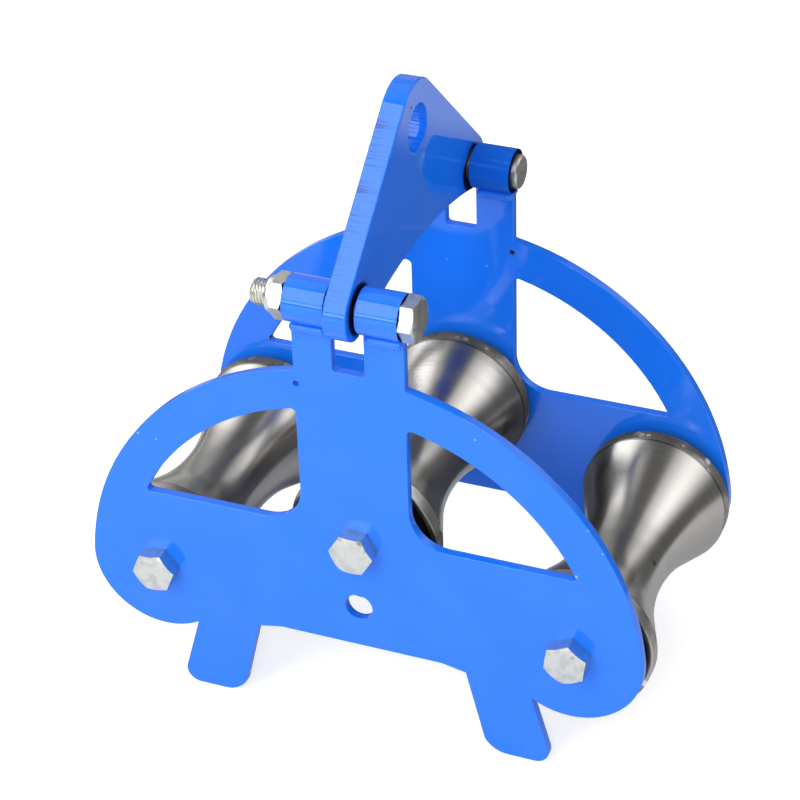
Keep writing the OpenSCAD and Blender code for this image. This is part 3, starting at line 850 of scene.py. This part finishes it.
def nut_body(bm, centre, axis, flats, height, turn, bore):
    """Nut: a hexagon chamfered on both faces, with a countersunk bore."""
    rings = hexagon(bm, centre, axis, flats, height, turn, both=True)
    axis = Vector(axis)
    first, last = rings[0], rings[-1]
    inner = []
    for level, ring in ((0, first), (1, last)):
        loop = []
        for vert in ring:
            radial = vert.co - centre - axis * (level * height)
            loop.append(bm.verts.new(centre + axis * (MM if not level else height - MM)
                                     + radial.normalized() * (bore + 0.02 * MM)))
        inner.append(loop)
    steps = len(first)
    for a, b in ((inner[0], first), (last, inner[1]), (inner[1], inner[0])):
        for k in range(steps):
            m = (k + 1) % steps
            bm.faces.new([a[k], a[m], b[m], b[k]])


class PULLEY_OT_pin(bpy.types.Operator):
    """Finishes the release pin and its pull ring"""

    bl_idname = "pulley.pin"
    bl_label = "Release pin and ring"

    def execute(self, context):
        look = settings()[2]
        drawn = plated("pin_zinc", shade(look.zinc, 0.72), 0.34, lines=(900.0, 60.0, 60.0))
        paint(["release_pin"], drawn)
        paint(["pull_ring"], plated("ring_wire", (0.62, 0.62, 0.62), 0.3))
        break_edges("release_pin", 0.3 * MM)
        NODES["pull_ring"].data.shade_smooth()
        return {"FINISHED"}


def bead_tree(material):
    """Geometry Nodes: flattened ripples set along a line, as a weld's solidified pools."""
    tree = bpy.data.node_groups.new("weld_ripples", "GeometryNodeTree")
    for label, kind, value in (("Start", VECTOR, (0, 0, 0)), ("End", VECTOR, (1, 0, 0)),
                               ("Count", "NodeSocketInt", 14), ("Radius", FLOAT, 0.003),
                               ("Tilt", FLOAT, 0.0)):
        tree.interface.new_socket(label, in_out="INPUT", socket_type=kind).default_value = value
    tree.interface.new_socket("Bead", in_out="OUTPUT", socket_type="NodeSocketGeometry")
    add, link = tree.nodes.new, tree.links.new
    given, out = add("NodeGroupInput"), add("NodeGroupOutput")
    line = add("GeometryNodeMeshLine")
    line.mode = "END_POINTS"
    ball = add("GeometryNodeMeshUVSphere")
    ball.inputs["Segments"].default_value, ball.inputs["Rings"].default_value = 20, 12
    place = add("GeometryNodeInstanceOnPoints")
    turn = add("ShaderNodeCombineXYZ")
    size = add("FunctionNodeRandomValue")
    size.data_type = "FLOAT_VECTOR"
    size.inputs["Min"].default_value = (0.9, 0.97, 0.74)
    size.inputs["Max"].default_value = (1.1, 1.02, 0.78)
    size.inputs["Seed"].default_value = 7
    real, skin = add("GeometryNodeRealizeInstances"), add("GeometryNodeSetMaterial")
    skin.inputs["Material"].default_value = material
    smooth = add("GeometryNodeSetShadeSmooth")
    link(given.outputs["Count"], line.inputs["Count"])
    link(given.outputs["Start"], line.inputs["Start Location"])
    link(given.outputs["End"], line.inputs["Offset"])
    link(given.outputs["Radius"], ball.inputs["Radius"])
    link(given.outputs["Tilt"], turn.inputs[0])
    link(line.outputs[0], place.inputs["Points"])
    link(ball.outputs["Mesh"], place.inputs["Instance"])
    link(turn.outputs[0], place.inputs["Rotation"])
    link(size.outputs[0], place.inputs["Scale"])
    link(place.outputs[0], real.inputs[0])
    link(real.outputs[0], smooth.inputs[0])
    link(smooth.outputs[0], skin.inputs[0])
    link(skin.outputs[0], out.inputs[0])
    return tree


class PULLEY_OT_welds(bpy.types.Operator):
    """Lays the weld beads under the four barrels"""

    bl_idname = "pulley.welds"
    bl_label = "Weld beads"

    def execute(self, context):
        skin = enamel("enamel_weld", settings()[0])
        tree = bead_tree(skin)
        socket = {s.name: s.identifier for s in tree.interface.items_tree if s.item_type == "SOCKET"
                  and s.in_out == "INPUT"}
        for which in ("near", "far"):
            low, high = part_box("barrel_welds_" + which)
            beads = []
            for x0, x1 in ((low.x, -11.5 * MM), (11.5 * MM, high.x)):
                for y, tilt in ((low.y + 4.5 * MM, 0.9), (high.y - 4.5 * MM, -0.9)):
                    start = (x0 + 2.9 * MM, y, high.z - 5.4 * MM)
                    end = (x1 - 2.9 * MM, y, high.z - 5.4 * MM)
                    beads.append(grown(tree, socket, Start=start, End=end, Count=17,
                                       Radius=3.0 * MM, Tilt=tilt))
            piece = joined("weld_beads_" + which, beads, skin)
            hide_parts("barrel_welds_" + which)
            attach(piece, "frame")
        return {"FINISHED"}


def grown(tree, socket, **values):
    """Plain mesh grown by a Geometry Nodes tree with these inputs."""
    holder = bpy.data.objects.new("holder", bpy.data.meshes.new("holder"))
    bpy.context.scene.collection.objects.link(holder)
    modifier = holder.modifiers.new("grow", "NODES")
    modifier.node_group = tree
    for label, value in values.items():
        modifier[socket[label]] = value
    bpy.context.view_layer.update()
    grown_holder = holder.evaluated_get(bpy.context.evaluated_depsgraph_get())
    mesh = bpy.data.meshes.new_from_object(grown_holder)
    bpy.data.objects.remove(holder)
    return mesh


def joined(name, meshes, material):
    """One object from several meshes."""
    bm = bmesh.new()
    for mesh in meshes:
        bm.from_mesh(mesh)
    mesh = bpy.data.meshes.new(name)
    bm.to_mesh(mesh)
    bm.free()
    mesh.materials.clear()
    mesh.materials.append(material)
    mesh.shade_smooth()
    piece = bpy.data.objects.new(name, mesh)
    bpy.context.scene.collection.objects.link(piece)
    return piece


class PULLEY_OT_stage(bpy.types.Operator):
    """Sets up the floor, the lamps, the world and the camera"""

    bl_idname = "pulley.stage"
    bl_label = "Stage"

    def execute(self, context):
        scene, look = context.scene, settings()[3]
        scene.view_settings.view_transform = "Standard"
        camera = bpy.data.cameras.new("camera")
        camera.lens, camera.sensor_width = look.lens, 36.0
        camera.clip_end = 20.0
        eye = bpy.data.objects.new("camera", camera)
        flat = math.cos(look.elevation)
        out = Vector((math.sin(look.azimuth) * flat, -math.cos(look.azimuth) * flat,
                      math.sin(look.elevation)))
        eye.matrix_world = (
            Matrix.Translation(Vector(look.aim) + out * look.distance)
            @ (-out).to_track_quat("-Z", "Y").to_matrix().to_4x4()
            @ Matrix.Rotation(look.roll, 4, "Z"))
        scene.collection.objects.link(eye)
        scene.camera = eye
        self.world(scene)
        self.floor()
        for name, at, size, power in (
                ("key", (-0.89, -1.54, 1.78), (1.5, 2.2), 30.0),
                ("strip", (-0.8, -2.25, 0.56), (1.2, 0.42), 6.0),
                ("fill", (0.6, -1.8, 1.5), (0.5, 0.5), 10.0)):
            self.lamp(name, Vector(at), size, power)
        return {"FINISHED"}

    def lamp(self, name, at, size, power):
        light = bpy.data.lights.new(name, "AREA")
        light.shape, light.size, light.size_y = "RECTANGLE", *size
        light.energy = power
        lamp = bpy.data.objects.new(name, light)
        lamp.matrix_world = Matrix.Translation(at) @ (Vector((0, 0, 0.17)) - at).to_track_quat(
            "-Z", "Y").to_matrix().to_4x4()
        bpy.context.scene.collection.objects.link(lamp)

    def world(self, scene):
        """White to the camera. Metal mirrors a dim room with two soft panels, right and left."""
        world = bpy.data.worlds.new("studio")
        world.use_nodes = True
        scene.world = world
        t = Tree(world.node_tree)
        shader = world.node_tree.nodes["Background"]
        paths = t.add("ShaderNodeLightPath").outputs
        seen = t.math("MAXIMUM", paths["Is Camera Ray"], paths["Is Transmission Ray"])
        way = t.split(t.add("ShaderNodeTexCoord").outputs["Generated"])
        lean = t.math("ARCTAN2", t.times(way[0], -1.0), way[2])
        right = t.times(t.ramp(lean, -1.42, -0.8), t.ramp(lean, -0.25, -0.33),
                        t.ramp(lean, -0.84, -0.31, 1.0, 0.4), 2.1)
        left = t.times(t.ramp(lean, 0.14, 0.87), t.ramp(lean, 1.75, 1.0),
                       t.ramp(way[1], 0.4, 0.75, 1.0, 0.35), 2.5)
        behind = t.times(t.ramp(way[1], -0.3, 0.1), t.ramp(way[1], 0.45, 0.85, 1.0, 0.5))
        room, sky = 0.17, 0.62
        mirror = t.math("ADD", t.times(t.math("ADD", right, left), behind), room)
        level = t.math("MULTIPLY_ADD", paths["Is Glossy Ray"], t.math("SUBTRACT", mirror, sky), sky)
        t.put(shader.inputs["Color"], (1, 1, 1, 1))
        t.put(shader.inputs["Strength"], t.math("MAXIMUM", seen, level))

    def floor(self):
        bm = bmesh.new()
        bmesh.ops.create_grid(bm, x_segments=1, y_segments=1, size=6.0)
        mesh = bpy.data.meshes.new("floor")
        bm.to_mesh(mesh)
        bm.free()
        floor = bpy.data.objects.new("floor", mesh)
        floor.location.z = -0.0002
        bpy.context.scene.collection.objects.link(floor)
        material, t, s, place = new_material("floor_white", (0.86, 0.86, 0.86), 0.9)
        paths = t.add("ShaderNodeLightPath").outputs
        grain = t.noise(place, 40.0, 2.0, 0.5)
        t.put(s["Roughness"], t.math("MULTIPLY_ADD", grain, 0.1, 0.85))
        across, depth = t.split(place)[:2]
        far = t.times(t.ramp(depth, 0.59, 0.7), t.ramp(across, 0.38, 0.32))
        near = t.math("MAXIMUM", t.ramp(depth, -0.05, 0.05, 0.0, 0.3), t.ramp(depth, 0.2, 0.32))
        shaded = t.times(near, t.math("SUBTRACT", 1.0, far), paths["Is Glossy Ray"])
        t.put(s["Base Color"], t.mix(shaded, (0.86, 0.86, 0.86), (0.14, 0.14, 0.14)))
        lit = t.times(t.math("SUBTRACT", paths["Is Glossy Ray"], shaded),
                      t.ramp(across, 0.2, 0.45, 0.1, 0.35))
        glow = t.math("ADD", lit, t.times(paths["Is Camera Ray"], 0.55))
        t.put(s["Emission Strength"], glow)
        s["Emission Color"].default_value = (1, 1, 1, 1)
        mesh.materials.append(material)


STEPS = (PULLEY_OT_stage, PULLEY_OT_frame_paint, PULLEY_OT_rollers, PULLEY_OT_bearings,
         PULLEY_OT_bolts, PULLEY_OT_pin, PULLEY_OT_welds)


class PULLEY_PT_panel(bpy.types.Panel):
    """Sidebar panel with the pulley's steps and sizes"""

    bl_idname = "PULLEY_PT_panel"
    bl_label = "Cable pulley"
    bl_space_type = "VIEW_3D"
    bl_region_type = "UI"
    bl_category = "Pulley"

    def draw(self, context):
        for step in STEPS:
            self.layout.operator(step.bl_idname)
        for name in GROUPS:
            group = getattr(context.scene, name)
            for key in group.bl_rna.properties.keys():
                if key not in ("rna_type", "name"):
                    self.layout.prop(group, key)


CLASSES = (*GROUPS.values(), *STEPS, PULLEY_PT_panel)


def register():
    for cls in CLASSES:
        bpy.utils.register_class(cls)
    for name, group in GROUPS.items():
        setattr(bpy.types.Scene, name, PointerProperty(type=group))


def unregister():
    for name in GROUPS:
        delattr(bpy.types.Scene, name)
    for cls in reversed(CLASSES):
        bpy.utils.unregister_class(cls)


def main():
    register()
    for step in STEPS:
        group, name = step.bl_idname.split(".")
        getattr(getattr(bpy.ops, group), name)()
    bpy.context.view_layer.update()


if __name__ == "__main__":
    main()
